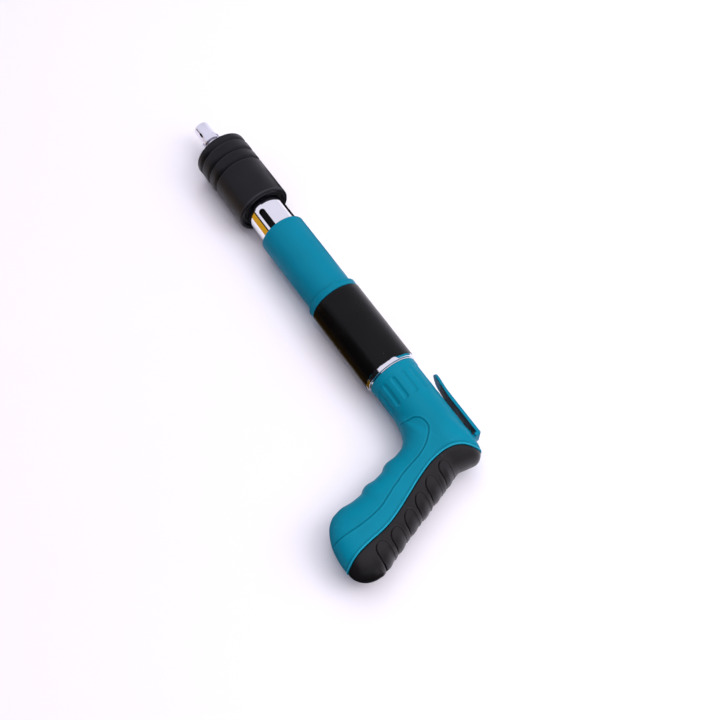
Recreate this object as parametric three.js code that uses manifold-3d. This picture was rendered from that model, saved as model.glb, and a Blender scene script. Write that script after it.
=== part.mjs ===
// Push-actuated hand nailer: a straight two-stage barrel with a sliding chrome
// tube and silencer in front, a striker unit in the middle, and a pistol grip
// handle behind. Everything is drawn on the tube axis with the muzzle face at
// x = 0 and the tool running towards -X, the grip towards +Y, and the whole
// tool lying on its side. The last group moves it so that the origin is under
// the middle of the tool, on the surface it lies on. Millimetres.
import * as THREE from 'three';
import { mergeVertices } from 'three/addons/utils/BufferGeometryUtils.js';
import Module from 'manifold-3d';

// ---- driving dimensions -------------------------------------------------
const GAP = 0.3; // clearance between faces that touch
const STROKE = 22; // how far the barrel pushes back

const MUZZLE_R = 6.3;
const MUZZLE_BORE_R = 3.9;
const MUZZLE_RING = { from: 14.5, to: 18.7, inner: 5.8, outer: 7.8 };

const SLEEVE = { from: 29.7, to: 95.4, r: 21.5, inner: 18.2, groove: 20.5 };
const BARREL_R = 15.5; // chrome sliding tube
const BARREL_BORE = 12.5;
const BARREL = { from: 86, flange: 205.4, to: 210.4 };
const KEY = { from: 104.2, w: 5.2, deg: 25 }; // keyway in the chrome tube

const FRONT_R = 18.45; // teal front tube
const FRONT = { from: 120.8, shoulder: 189.1, to: 205.1 };
const COLLAR = { from: 189.4, to: 194.75, r: 20.5 };

const BODY_R = 20.0; // striker housing under the wrap
const BODY_BORE = 17.3;
const BODY = { from: 195.05, step: 262.3, shoulder: 267.4, to: 322 };
const SPIGOT_R = 15.8;
const SPIGOT_BORE = 13.5;
const WRAP = { from: 195.4, to: 263.7, inner: 20.25, outer: 20.55 };

const HAMMER = { from: 214, land: 216.6, to: 240 };
const TRIP = { from: 217.3, to: 225.7, shift: 2.2 };
const PLUG = { from: 316.3, flange: 322.3, to: 326 };

const HANDLE_R = 18.6; // round front end of the handle
const HANDLE_FROM = 267.7;
const PAD_DEPTH = 2.0; // rubber grip pad
const SHELL_WALL = 2.5;
const SCREWS = [[-332, 3], [-338, 43], [-349, 71], [-356, 93]];

const CLIP = { outerY: -23.9, innerY: -21.3, footX: [-341.2, -338.6], width: 14 };

// origin under the middle of the tool
const OFFSET = [191.6, -41.7, 21.5];

// ---- colours ------------------------------------------------------------
const TEAL = 0x0a7f96;
const mats = {
  teal: { color: TEAL, roughness: 0.42, metalness: 0.0 },
  tealMetal: { color: TEAL, roughness: 0.38, metalness: 0.1 },
  chrome: { color: 0xdcdce4, roughness: 0.08, metalness: 1.0 },
  steel: { color: 0x9a9da2, roughness: 0.35, metalness: 1.0 },
  dark: { color: 0x3a3b3f, roughness: 0.5, metalness: 0.8 },
  rubber: { color: 0x1c1b1d, roughness: 0.7, metalness: 0.0 },
  sleeve: { color: 0x232328, roughness: 0.55, metalness: 0.0 },
  wrap: { color: 0x0b0b0c, roughness: 0.2, metalness: 0.0 },
  spring: { color: 0x8b8e93, roughness: 0.3, metalness: 1.0 },
  brass: { color: 0xb08d3c, roughness: 0.3, metalness: 1.0 },
  screw: { color: 0x2b2c2f, roughness: 0.4, metalness: 0.9 },
};

// ---- geometry helpers ---------------------------------------------------
const wasm = await Module();
wasm.setup();

// keeps positions only, merges shared vertices, drops flat triangles and
// turns the faces outward
function closed(geometry) {
  const g = geometry.clone();
  for (const name of Object.keys(g.attributes)) if (name !== 'position') g.deleteAttribute(name);
  const m = mergeVertices(g, 1e-4);
  const p = m.attributes.position;
  const idx = m.index.array;
  const tris = [];
  for (let i = 0; i < idx.length; i += 3) {
    const [a, b, c] = [idx[i], idx[i + 1], idx[i + 2]];
    if (a !== b && b !== c && c !== a) tris.push(a, b, c);
  }
  let volume = 0;
  const A = new THREE.Vector3(), B = new THREE.Vector3(), C = new THREE.Vector3();
  for (let i = 0; i < tris.length; i += 3) {
    A.fromBufferAttribute(p, tris[i]);
    B.fromBufferAttribute(p, tris[i + 1]);
    C.fromBufferAttribute(p, tris[i + 2]);
    volume += A.dot(B.cross(C));
  }
  if (volume < 0) for (let i = 0; i < tris.length; i += 3) [tris[i + 1], tris[i + 2]] = [tris[i + 2], tris[i + 1]];
  const out = new THREE.BufferGeometry();
  out.setAttribute('position', new THREE.BufferAttribute(new Float32Array(p.array), 3));
  out.setIndex(tris);
  return out;
}

function solid(geometry) {
  const g = closed(geometry);
  return new wasm.Manifold(new wasm.Mesh({
    numProp: 3,
    vertProperties: g.attributes.position.array,
    triVerts: new Uint32Array(g.index.array),
  }));
}

// the main body of a cut piece, without slivers
function geometryOf(manifold) {
  const bodies = manifold.decompose().sort((a, b) => b.volume() - a.volume());
  const mesh = bodies[0].getMesh();
  const g = new THREE.BufferGeometry();
  g.setAttribute('position', new THREE.BufferAttribute(new Float32Array(mesh.vertProperties), 3));
  g.setIndex(Array.from(mesh.triVerts));
  return g;
}

// a turned piece on the tube axis from [distance behind muzzle, radius] points
function turned(points, segments = 28) {
  const profile = points.map(([a, r]) => new THREE.Vector2(r, -a));
  if (points[0][1] > 0 || points[points.length - 1][1] > 0) profile.push(profile[0].clone());
  return new THREE.LatheGeometry(profile, segments).rotateZ(-Math.PI / 2);
}

function box(x0, x1, y0, y1, z0, z1) {
  return new THREE.BoxGeometry(x1 - x0, y1 - y0, z1 - z0)
    .translate((x0 + x1) / 2, (y0 + y1) / 2, (z0 + z1) / 2);
}

// upright cylinder between two heights
function post(x, y, r, z0, z1, segments = 14) {
  return new THREE.CylinderGeometry(r, r, z1 - z0, segments).rotateX(Math.PI / 2)
    .translate(x, y, (z0 + z1) / 2);
}

// cylinder on the tube axis direction
function rod(a0, a1, r, segments = 28) {
  return new THREE.CylinderGeometry(r, r, a1 - a0, segments).rotateZ(Math.PI / 2)
    .translate(-(a0 + a1) / 2, 0, 0);
}

function prism(points, z0, z1) {
  const shape = new THREE.Shape(points.map(([x, y]) => new THREE.Vector2(x, y)));
  return new THREE.ExtrudeGeometry(shape, { depth: z1 - z0, bevelEnabled: false }).translate(0, 0, z0);
}

// coil spring along the tube axis
class Helix extends THREE.Curve {
  constructor(a0, a1, r, turns) { super(); Object.assign(this, { a0, a1, r, turns }); }
  getPoint(t, target = new THREE.Vector3()) {
    const w = t * this.turns * 2 * Math.PI;
    return target.set(-(this.a0 + (this.a1 - this.a0) * t), this.r * Math.cos(w), this.r * Math.sin(w));
  }
}
function coil(a0, a1, r, wire, turns, sides = 6, stepsPerTurn = 11) {
  const section = new THREE.Shape(Array.from({ length: sides }, (_, i) => new THREE.Vector2(
    wire * Math.cos((2 * Math.PI * i) / sides), wire * Math.sin((2 * Math.PI * i) / sides))));
  return new THREE.ExtrudeGeometry(section, {
    extrudePath: new Helix(a0 + wire, a1 - wire, r, turns), steps: Math.round(turns * stepsPerTurn), bevelEnabled: false,
  });
}

// ---- handle form --------------------------------------------------------
// Stations down the grip: distance along it, front edge, back edge and half
// thickness. Positive is towards the fingers.
const GRIP_START = [-338, 0];
const GRIP_DIR = [-0.235, 0.972];
const GRIP_SIDE = [0.972, 0.235];
const GRIP_STATIONS = [
  [-17.4, 5, -7.5, 4], [-15.7, 14, -11.6, 9], [-12, 24, -17.6, 14.6], [-5, 28, -19.9, 17.2],
  [3, 32, -16.4, 17.7], [9, 38.5, -14.5, 17.7], [13, 33.6, -14.7, 17.6], [18.3, 28.6, -15.1, 17.4],
  [25, 25.9, -16.1, 17.1], [34, 26.0, -16.6, 16.9], [41, 26.7, -17.3, 16.8], [45.5, 24.8, -17.8, 16.7],
  [54, 25.1, -18.5, 16.7], [62, 26.6, -19.1, 16.8], [67, 24.8, -19.7, 16.9], [76, 26.0, -20.9, 17.1],
  [87, 28.3, -22.2, 17.5], [95, 26.8, -22.7, 17.4], [101, 22.4, -22.0, 16.5], [106.5, 15.4, -19.5, 14.0],
  [110.3, 6.2, -15.5, 10], [112.6, -2.0, -9.5, 4],
];
const GRIP_POWER = 2.3; // 2 is an ellipse, more is squarer
const GRIP_AROUND = 20;

// the grip drawn in by an inset: a capped cylinder bent to the stations
function grip(inset) {
  const rows = GRIP_STATIONS.length;
  const first = GRIP_STATIONS[0][0];
  const span = GRIP_STATIONS[rows - 1][0] - first;
  const g = new THREE.CylinderGeometry(1, 1, 1, GRIP_AROUND, rows - 1, false);
  const p = g.attributes.position;
  for (let i = 0; i < p.count; i++) {
    const k = Math.round((p.getY(i) + 0.5) * (rows - 1));
    const [u0, vf, vb, h0] = GRIP_STATIONS[k];
    const onAxis = Math.hypot(p.getX(i), p.getZ(i)) < 0.5;
    const angle = Math.atan2(p.getZ(i), p.getX(i));
    const c = Math.cos(angle), s = Math.sin(angle);
    const e = 2 / GRIP_POWER;
    const half = Math.max((vf - vb) / 2 - inset, 0.8);
    const h = Math.max(h0 - inset, 0.8);
    const u = THREE.MathUtils.clamp(u0, first + inset, first + span - inset);
    const v = (vf + vb) / 2 + (onAxis ? 0 : half * Math.sign(c) * Math.abs(c) ** e);
    const z = onAxis ? 0 : h * Math.sign(s) * Math.abs(s) ** e;
    p.setXYZ(i,
      GRIP_START[0] + u * GRIP_DIR[0] + v * GRIP_SIDE[0],
      GRIP_START[1] + u * GRIP_DIR[1] + v * GRIP_SIDE[1],
      z);
  }
  return solid(g);
}

function handleForm(inset) {
  const r = HANDLE_R - inset;
  const end = 346 - inset;
  const nose = HANDLE_FROM + (inset > 0 ? inset : 0);
  const round = solid(turned([[nose, 0], [nose, r], [327, r], [end - 9, r - 0.6], [end - 5, r - 2.6],
    [end - 2, r - 6.5], [end, 0]], 36));
  return round.add(grip(inset));
}

// edge of the rubber pad seen from the side, from the butt up to the heel
const PAD_EDGE = [
  [-370.6, 118], [-369.4, 108.4], [-367.3, 102], [-365.5, 95.4], [-363.9, 86.4], [-362.3, 75.5],
  [-359.9, 65.9], [-356.2, 56.3], [-350.9, 44.4], [-347.4, 36.6], [-342.9, 25.3], [-340.7, 16.9],
  [-339.9, 8.6], [-341.2, 0.2], [-344.1, -6.2], [-348.2, -11.0], [-351.2, -14.5], [-352.6, -18.4], [-353.2, -24],
];
function padPrism(shrink) {
  const n = PAD_EDGE.length;
  const edge = PAD_EDGE.map(([x, y], i) => {
    const a = PAD_EDGE[Math.max(i - 1, 0)], b = PAD_EDGE[Math.min(i + 1, n - 1)];
    const dx = b[0] - a[0], dy = b[1] - a[1], l = Math.hypot(dx, dy);
    return [x + (dy / l) * shrink, y - (dx / l) * shrink];
  });
  return solid(prism([...edge, [-396, edge[n - 1][1] - 3], [-396, 118]], -24, 24));
}

// ---- nodes --------------------------------------------------------------
const tool = new THREE.Group();
tool.position.set(...OFFSET);
const model = new THREE.Group();
model.add(tool);

function node(name, geometry, mat) {
  const mesh = new THREE.Mesh(geometry, new THREE.MeshStandardMaterial({ ...mats[mat] }));
  mesh.name = name;
  mesh.geometry.computeVertexNormals();
  tool.add(mesh);
}

// muzzle: bored steel tube with a slit, screwed into the chrome tube
{
  const m = MUZZLE_R;
  const tube = solid(turned([[0, MUZZLE_BORE_R], [0, m - 0.6], [0.6, m], [14.2, m], [14.2, 5.5], [19, 5.5],
    [19, m], [90, m], [90, 12.2], [100, 12.2], [100, MUZZLE_BORE_R]], 28));
  const slit = solid(box(-13, -3.5, -0.8, 0.8, 4.5, 8).rotateX(-THREE.MathUtils.degToRad(62)));
  node('muzzle_tube', geometryOf(tube.subtract(slit)), 'chrome');
}

// split retaining ring with four notches in the muzzle groove
{
  const r = MUZZLE_RING;
  let ring = solid(turned([[r.from, r.inner], [r.from, r.outer], [r.to, r.outer], [r.to, r.inner]], 24));
  ring = ring.subtract(solid(box(-20, -13, -1.1, 1.1, -9, 0)));
  for (const deg of [45, 135, 225, 315]) {
    ring = ring.subtract(solid(box(-20, -16.4, -1, 1, 7, 9).rotateX(THREE.MathUtils.degToRad(deg))));
  }
  node('muzzle_ring', geometryOf(ring), 'steel');
}

// soft black sleeve with three grooves around its front half
{
  const { from: f, to: t, r, inner, groove: g } = SLEEVE;
  node('front_sleeve', closed(turned([[f, 6.7], [f, 18], [f + 2, 21], [34.8, r], [37.2, g], [38.8, r], [45.4, r], [48, g],
    [49.6, r], [55.6, r], [58.2, g], [59.8, r], [t - 2.4, r], [t, 19.8], [t, inner], [36, inner], [36, 6.7]], 36)), 'sleeve');
}

// silencer core: a tube with four discs inside the sleeve
node('muffler_core', closed(turned([[36.4, 6.7], [36.4, 17.8], [38.4, 17.8], [38.4, 8.4], [52, 8.4], [52, 17.8],
  [54, 17.8], [54, 8.4], [68, 8.4], [68, 17.8], [70, 17.8], [70, 8.4], [83.6, 8.4], [83.6, 17.8],
  [85.6, 17.8], [85.6, 6.7]], 20)), 'dark');

node('sleeve_bush', closed(turned([[86.2, 15.8], [86.2, 17.8], [92.5, 17.8], [92.5, 15.8]], 28)), 'rubber');

// chrome sliding tube with a keyway and a rear flange
{
  const tube = solid(turned([[BARREL.from, BARREL_BORE], [BARREL.from, BARREL_R - 0.5], [BARREL.from + 0.5, BARREL_R],
    [BARREL.flange, BARREL_R], [BARREL.flange, 16.9], [BARREL.to, 16.9], [BARREL.to, BARREL_BORE]], 36));
  const keyway = solid(box(-184, -KEY.from, -KEY.w / 2, KEY.w / 2, 13.7, 18))
    .add(solid(post(-KEY.from, 0, KEY.w / 2, 13.7, 18, 16))).rotate([-KEY.deg, 0, 0]);
  node('barrel_tube', geometryOf(tube.subtract(keyway)), 'chrome');
}

// breech: guides the firing pin and seats its spring
node('breech_block', closed(turned([[100.3, 2.3], [100.3, 12.2], [128, 12.2], [128, 5.7], [112, 5.7], [112, 2.3]], 20)), 'steel');
node('pin_retainer', closed(turned([[128.3, 4.5], [128.3, 12.2], [132, 12.2], [132, 4.5]], 20)), 'steel');
node('firing_pin', closed(turned([[101, 0], [101, 1.5], [102, 1.9], [121, 1.9], [121, 5.2], [127.6, 5.2], [127.6, 4.1],
  [150, 4.1], [150, 7.2], [154, 7.2], [154, 3], [216.8, 3], [216.8, 0]], 16)), 'steel');
node('pin_spring', closed(coil(112.3, 120.7, 3.8, 0.5, 4, 4, 8)), 'spring');
node('return_spring', closed(coil(154.3, 213.7, 5.2, 0.8, 9, 5, 8)), 'spring');

// front tube, its wiper seal and the key that stops the barrel turning
{
  const { from: f, shoulder: s, to: t } = FRONT;
  const tube = solid(turned([[f, 15.8], [f, 16.7], [f + 0.7, 17.8], [f + 2.2, FRONT_R], [s, FRONT_R], [s, 17],
    [t, 17], [t, 15.8], [129.8, 15.8], [129.8, 17.3], [126, 17.3], [126, 15.8]], 36));
  const pocket = solid(box(-158.4, -151.6, -2.5, 2.5, 15, 17.5)).rotate([-KEY.deg, 0, 0]);
  node('front_tube', geometryOf(tube.subtract(pocket)), 'tealMetal');
}
node('wiper_seal', closed(turned([[126.3, 15.75], [126.3, 17], [129.5, 17], [129.5, 15.75]], 36)), 'rubber');
node('guide_key', closed(box(-158.1, -151.9, -2.2, 2.2, 14.1, 17.2).rotateX(-THREE.MathUtils.degToRad(KEY.deg))), 'steel');
node('collar_ring', closed(turned([[COLLAR.from, 17.3], [COLLAR.from, COLLAR.r - 0.6], [COLLAR.from + 0.8, COLLAR.r],
  [COLLAR.to, COLLAR.r], [COLLAR.to, 17.3]], 36)), 'tealMetal');

// striker housing: wide chamber in front, spigot into the handle behind
{
  const { from: f, step, shoulder: s, to: t } = BODY;
  const tube = solid(turned([[f, BODY_BORE], [f, BODY_R], [s, BODY_R], [s, SPIGOT_R], [t, SPIGOT_R],
    [t, SPIGOT_BORE], [step, SPIGOT_BORE], [step, BODY_BORE]], 36));
  const dimple = solid(post(-290, 0, 2.8, -20, -14.4));
  node('body_tube', geometryOf(tube.subtract(dimple)), 'chrome');
}
node('body_wrap', closed(turned([[WRAP.from, WRAP.inner], [WRAP.from, WRAP.outer], [WRAP.to, WRAP.outer],
  [WRAP.to, WRAP.inner]], 36)), 'wrap');

// hammer with a cross slot for the trip block and a bore for the pin's tail
{
  const { from: f, land, to: t } = HAMMER;
  const body = solid(turned([[f, 3.4], [f, 16.9], [land, 16.9], [land, 13.2], [t, 13.2], [t, 9.3], [t + 6, 9.3],
    [t + 6, 0], [t - 4, 0], [t - 4, 3.4]], 24));
  const slot = solid(box(-(TRIP.to + GAP), -(TRIP.from - GAP), -20, 20, -5, 5));
  node('hammer', geometryOf(body.subtract(slot)), 'steel');
}
{
  const block = solid(box(-TRIP.to, -TRIP.from, -11, 16, -4.7, 4.7));
  const hole = solid(rod(TRIP.from - 1, TRIP.to + 1, 3.4, 14)).translate([0, TRIP.shift, 0]);
  node('trip_block', geometryOf(block.subtract(hole)), 'steel');
}
node('trip_ring', closed(turned([[239.2, 16.8], [239.2, 17], [250, 17], [250, 15.2], [246, 15.2]], 28)), 'steel');
node('main_spring', closed(coil(246.5, 316, 11.6, 1.3, 9, 5, 9)), 'spring');
node('rear_plug', closed(turned([[PLUG.from, 0], [PLUG.from, 13.2], [PLUG.flange, 13.2], [PLUG.flange, 15.6],
  [PLUG.to, 15.6], [PLUG.to, 4.5], [PLUG.to - 4, 4.5], [PLUG.to - 4, 0]], 24)), 'steel');

// handle shells and rubber pad
{
  const outer = handleForm(0);
  let body = outer.subtract(padPrism(0)).add(handleForm(SHELL_WALL))
    .subtract(handleForm(SHELL_WALL * 2)).subtract(solid(rod(260, 327, 16.1, 36)));
  const inside = handleForm(SHELL_WALL + 0.1);
  for (const [x, y] of SCREWS) body = body.add(solid(post(x, y, 4.4, -20, 20)).intersect(inside));
  for (const [x, y] of SCREWS) {
    body = body.subtract(solid(post(x, y, 2.05, -25, 10)));
    body = body.subtract(solid(post(x, y, 3.8, -25, -12)));
  }
  body = body.subtract(solid(post(-290, 0, 2.8, -25, -10)));
  body = body.subtract(solid(box(CLIP.footX[0] - 0.35, CLIP.footX[1] + 0.35, -26, -12.5, -5.4, 5.4)));
  const half = (z0, z1) => body.intersect(solid(box(-400, -250, -40, 130, z0, z1)));
  node('handle_shell_left', geometryOf(half(GAP / 2, 40)), 'teal');
  node('handle_shell_right', geometryOf(half(-40, -GAP / 2)), 'teal');

  const pad = outer.intersect(padPrism(0.35)).subtract(handleForm(PAD_DEPTH));
  node('grip_pad', geometryOf(pad), 'rubber');
}

// belt clip: bent plate, rounded tip, tab caught between the shells
{
  const { outerY: o, innerY: i, footX: [fx, tx], width: w } = CLIP;
  const side = solid(prism([[fx, o], [-302, o], [-294, o - 0.7], [-285.4, o - 2.5], [-284.8, o - 0.2],
    [-294, i - 0.7], [-302, i], [tx, i], [tx, -14.9], [fx, -14.9]], -w / 2, w / 2));
  const plan = new THREE.Shape();
  plan.moveTo(-344, -w / 2);
  plan.lineTo(-294, -w / 2);
  plan.absellipse(-294, 0, 9, w / 2, -Math.PI / 2, Math.PI / 2, false);
  plan.lineTo(-344, w / 2);
  const face = solid(new THREE.ExtrudeGeometry(plan, { depth: 20, bevelEnabled: false, curveSegments: 12 })
    .rotateX(Math.PI / 2).translate(0, -10, 0));
  let clip = side.intersect(face);
  clip = clip.subtract(solid(box(-344, -334, -19.75, -10, 5, 12)));
  clip = clip.subtract(solid(box(-344, -334, -19.75, -10, -12, -5)));
  node('belt_clip', geometryOf(clip), 'teal');
}

// fasteners
node('collar_screw', closed(post(-290, 0, 2.5, -18.3, -14.7)), 'screw');
SCREWS.forEach(([x, y], k) => {
  const screw = new THREE.LatheGeometry([[0, -14.6], [3.4, -14.6], [3.4, -12.3], [1.75, -12.3], [1.75, 9.2], [0, 9.6]]
    .map(([r, z]) => new THREE.Vector2(r, z)), 12).rotateX(Math.PI / 2).translate(x, y, 0);
  node(`shell_screw_${k + 1}`, closed(screw), 'screw');
});

export default model;
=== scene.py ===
import math

import bpy
import bmesh
import numpy as np
from mathutils import Matrix, Vector


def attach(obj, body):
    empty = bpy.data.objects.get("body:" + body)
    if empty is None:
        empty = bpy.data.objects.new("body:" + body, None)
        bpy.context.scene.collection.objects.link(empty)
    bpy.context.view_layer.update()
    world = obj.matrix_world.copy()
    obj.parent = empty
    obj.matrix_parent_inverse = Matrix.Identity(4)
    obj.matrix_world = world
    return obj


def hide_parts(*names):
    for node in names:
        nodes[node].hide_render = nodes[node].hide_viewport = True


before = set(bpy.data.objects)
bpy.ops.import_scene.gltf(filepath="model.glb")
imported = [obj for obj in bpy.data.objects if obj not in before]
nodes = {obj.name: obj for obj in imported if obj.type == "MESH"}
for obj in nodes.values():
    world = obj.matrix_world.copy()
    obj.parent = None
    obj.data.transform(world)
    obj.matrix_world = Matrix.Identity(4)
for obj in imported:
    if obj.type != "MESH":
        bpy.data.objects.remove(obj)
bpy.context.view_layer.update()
scene = bpy.context.scene

# The tool's own frame: muzzle face at x = 0, tool running towards -X, grip
# towards +Y, millimetres. OFF moves it to the row frame.
OFF = np.array([191.6, -41.7, 21.5])


def to_row(p):
    return (np.asarray(p, float) + OFF) / 1000.0


# ---- camera -------------------------------------------------------------
R = Vector((-0.5678, -0.8231, 0.0)).normalized()
B = Vector((-0.3544, 0.2445, 0.9026)).normalized()
U = B.cross(R).normalized()
DEPTH = 821.0
P0 = Vector((-194.75, 0, 0))
C = P0 - (R * ((336.0 - 360) / 1100 * DEPTH) + U * (-(302.3 - 360) / 1100 * DEPTH) + B * (-DEPTH))
cam_data = bpy.data.cameras.new("camera")
cam_data.lens = 55
cam_data.sensor_width = 36
cam_data.clip_start = 0.02
cam_data.clip_end = 50
cam = bpy.data.objects.new("camera", cam_data)
scene.collection.objects.link(cam)
rot = Matrix((R, U, B)).transposed()
cam.matrix_world = Matrix.Translation(Vector(to_row(C))) @ rot.to_4x4()
scene.camera = cam
scene.view_settings.view_transform = "Standard"
scene.view_settings.look = "None"
scene.view_settings.exposure = 0.0
scene.view_settings.gamma = 1.0


# ---- materials ----------------------------------------------------------
def srgb(r, g, b):
    def lin(c):
        c /= 255
        return c / 12.92 if c <= 0.04045 else ((c + 0.055) / 1.055) ** 2.4
    return (lin(r), lin(g), lin(b), 1.0)


class Nodes:
    """Small helper around a material's node tree, with object coordinates."""

    def __init__(self, name):
        self.mat = bpy.data.materials.new(name)
        self.mat.use_nodes = True
        self.t = self.mat.node_tree
        self.bsdf = self.t.nodes["Principled BSDF"]
        self.co = self.t.nodes.new("ShaderNodeTexCoord").outputs["Object"]

    def new(self, kind, **props):
        n = self.t.nodes.new(kind)
        for k, v in props.items():
            setattr(n, k, v)
        return n

    def link(self, a, b):
        self.t.links.new(a, b)

    def noise(self, scale, detail=3.0, rough=0.55, stretch=None, distortion=0.0):
        co = self.co
        if stretch:
            m = self.new("ShaderNodeMapping")
            m.inputs["Scale"].default_value = stretch
            self.link(self.co, m.inputs["Vector"])
            co = m.outputs["Vector"]
        n = self.new("ShaderNodeTexNoise")
        n.inputs["Scale"].default_value = scale
        n.inputs["Detail"].default_value = detail
        n.inputs["Roughness"].default_value = rough
        n.inputs["Distortion"].default_value = distortion
        self.link(co, n.inputs["Vector"])
        return n.outputs["Fac"]

    def voronoi(self, scale, feature="F1"):
        n = self.new("ShaderNodeTexVoronoi", feature=feature)
        n.inputs["Scale"].default_value = scale
        self.link(self.co, n.inputs["Vector"])
        return n.outputs["Distance"]

    def remap(self, value, a, b, lo, hi):
        n = self.new("ShaderNodeMapRange", clamp=True)
        for k, v in zip(("From Min", "From Max", "To Min", "To Max"), (a, b, lo, hi)):
            n.inputs[k].default_value = v
        self.link(value, n.inputs["Value"])
        return n.outputs["Result"]

    def math(self, op, a, b):
        n = self.new("ShaderNodeMath", operation=op)
        for i, v in enumerate((a, b)):
            if isinstance(v, (int, float)):
                n.inputs[i].default_value = v
            else:
                self.link(v, n.inputs[i])
        return n.outputs[0]

    def mix(self, fac, a, b):
        n = self.new("ShaderNodeMix", data_type="RGBA")
        ins = {s.identifier: s for s in n.inputs}
        for key, v in (("Factor_Float", fac), ("A_Color", a), ("B_Color", b)):
            s = ins[key]
            if isinstance(v, (tuple, float, int)):
                s.default_value = v
            else:
                self.link(v, s)
        return next(o for o in n.outputs if o.identifier == "Result_Color")

    def bump(self, heights):
        """heights: (value, strength, distance in metres), the first one lowest."""
        normal = None
        for h, strength, dist in heights:
            n = self.new("ShaderNodeBump")
            n.inputs["Strength"].default_value = strength
            n.inputs["Distance"].default_value = dist
            self.link(h, n.inputs["Height"])
            if normal is not None:
                self.link(normal, n.inputs["Normal"])
            normal = n.outputs["Normal"]
        self.link(normal, self.bsdf.inputs["Normal"])

    def pointiness(self):
        return self.new("ShaderNodeNewGeometry").outputs["Pointiness"]

    def set(self, **values):
        for k, v in values.items():
            s = self.bsdf.inputs[k.replace("_", " ")]
            if isinstance(v, (int, float, tuple)):
                s.default_value = v
            else:
                self.link(v, s)
        return self.mat


def shade(c, k):
    return (min(c[0] * k, 1), min(c[1] * k, 1), min(c[2] * k, 1), 1.0)


def plastic(name, color, rough=(0.36, 0.48), grain=0.10, worn=1.35, spec=0.5, coat=0.0, grain_scale=2300.0, tinted=False):
    """Moulded plastic or paint: slow colour drift, fine grain, worn edges, darker in the hollows; tinted adds a painted
    highlight and painted shade.
    """
    n = Nodes(name)
    drift = n.remap(n.noise(28, 4), 0.3, 0.7, 0.0, 1.0)
    base = n.mix(drift, shade(color, 0.94), shade(color, 1.06))
    speck = n.remap(n.noise(900, 2), 0.68, 0.8, 0.0, 0.35)
    base = n.mix(speck, base, shade(color, 0.7))
    edge = n.remap(n.pointiness(), 0.515, 0.56, 0.0, 0.65)
    edge = n.math("MULTIPLY", edge, n.remap(n.noise(240, 3), 0.35, 0.6, 0.35, 1.0))
    base = n.mix(edge, base, shade(color, worn))
    # hollows (low pointiness) are darkened towards 0.45 of the colour
    hollow_dark = n.remap(n.pointiness(), 0.485, 0.455, 0.0, 0.5)
    base = n.mix(hollow_dark, base, shade(color, 0.45))
    if tinted:
        # the tint attribute paints a light teal highlight above zero and painted shade below zero
        at = n.new("ShaderNodeAttribute", attribute_type="GEOMETRY", attribute_name="tint").outputs["Fac"]
        base = n.mix(n.remap(at, 0.0, 1.0, 0.0, 0.62), base, RIM_HIGHLIGHT)
        base = n.mix(n.remap(at, 0.0, -1.0, 0.0, 0.8), base, shade(color, 0.3))
    r = n.remap(n.noise(60, 5), 0.3, 0.7, rough[0], rough[1])
    r = n.math("ADD", r, n.math("MULTIPLY", edge, -0.08))
    n.bump([(n.noise(140, 3), 0.10, 0.0002), (n.noise(grain_scale, 3), grain, 0.00006)])
    n.set(Base_Color=base, Roughness=r, Specular_IOR_Level=spec, Coat_Weight=coat, Coat_Roughness=0.25)
    return n.mat


def rubber(name, color, rough=(0.5, 0.66), grain=0.25, dust=(0.09, 0.09, 0.1, 1.0), dust_amount=0.5, scale=1900.0, spec=0.5, tinted=False):
    """Matt black rubber: fine pebble grain, dust flecks, and a painted highlight on the raised edges."""
    n = Nodes(name)
    drift = n.remap(n.noise(40, 4), 0.3, 0.7, 0.0, 1.0)
    base = n.mix(drift, shade(color, 0.8), shade(color, 1.25))
    fleck = n.remap(n.noise(1400, 2), 0.66, 0.8, 0.0, dust_amount)
    base = n.mix(fleck, base, dust)
    # painted highlight: sharp raised edges are lightened to over three times the colour
    edge = n.remap(n.pointiness(), 0.51, 0.56, 0.0, 0.5)
    base = n.mix(edge, base, shade(color, 3.2))
    if tinted:
        # the tint attribute paints a light grey highlight, the sleeve's painted glints
        at = n.new("ShaderNodeAttribute", attribute_type="GEOMETRY", attribute_name="tint").outputs["Fac"]
        base = n.mix(n.remap(at, 0.0, 1.0, 0.0, 1.0), base, (0.075, 0.078, 0.094, 1))
    r = n.remap(n.noise(90, 4), 0.3, 0.7, rough[0], rough[1])
    n.bump([(n.noise(200, 3), 0.12, 0.0002), (n.voronoi(scale), grain, 0.00008)])
    n.set(Base_Color=base, Roughness=r, Specular_IOR_Level=spec)
    return n.mat


def metal(name, color, rough=(0.06, 0.16), brushed=(1.0, 1.0, 1.0), strength=0.05, scale=500.0, tarnish=0.25, tint=(0.25, 0.22, 0.2, 1.0)):
    """Metal with turning marks or polish scratches and a little tarnish in its grooves."""
    n = Nodes(name)
    wear = n.remap(n.noise(70, 5), 0.35, 0.75, 0.0, tarnish)
    base = n.mix(wear, color, shade(color, 0.78))
    hollow_dark = n.remap(n.pointiness(), 0.48, 0.44, 0.0, 0.8)
    base = n.mix(hollow_dark, base, tint)
    marks = n.noise(scale, 4, 0.6, stretch=brushed)
    r = n.remap(n.math("ADD", n.math("MULTIPLY", marks, 0.5), n.math("MULTIPLY", n.noise(45, 4), 0.5)), 0.3, 0.7, rough[0], rough[1])
    n.bump([(marks, strength, 0.00005)])
    n.set(Base_Color=base, Roughness=r, Metallic=1.0)
    return n.mat


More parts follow.
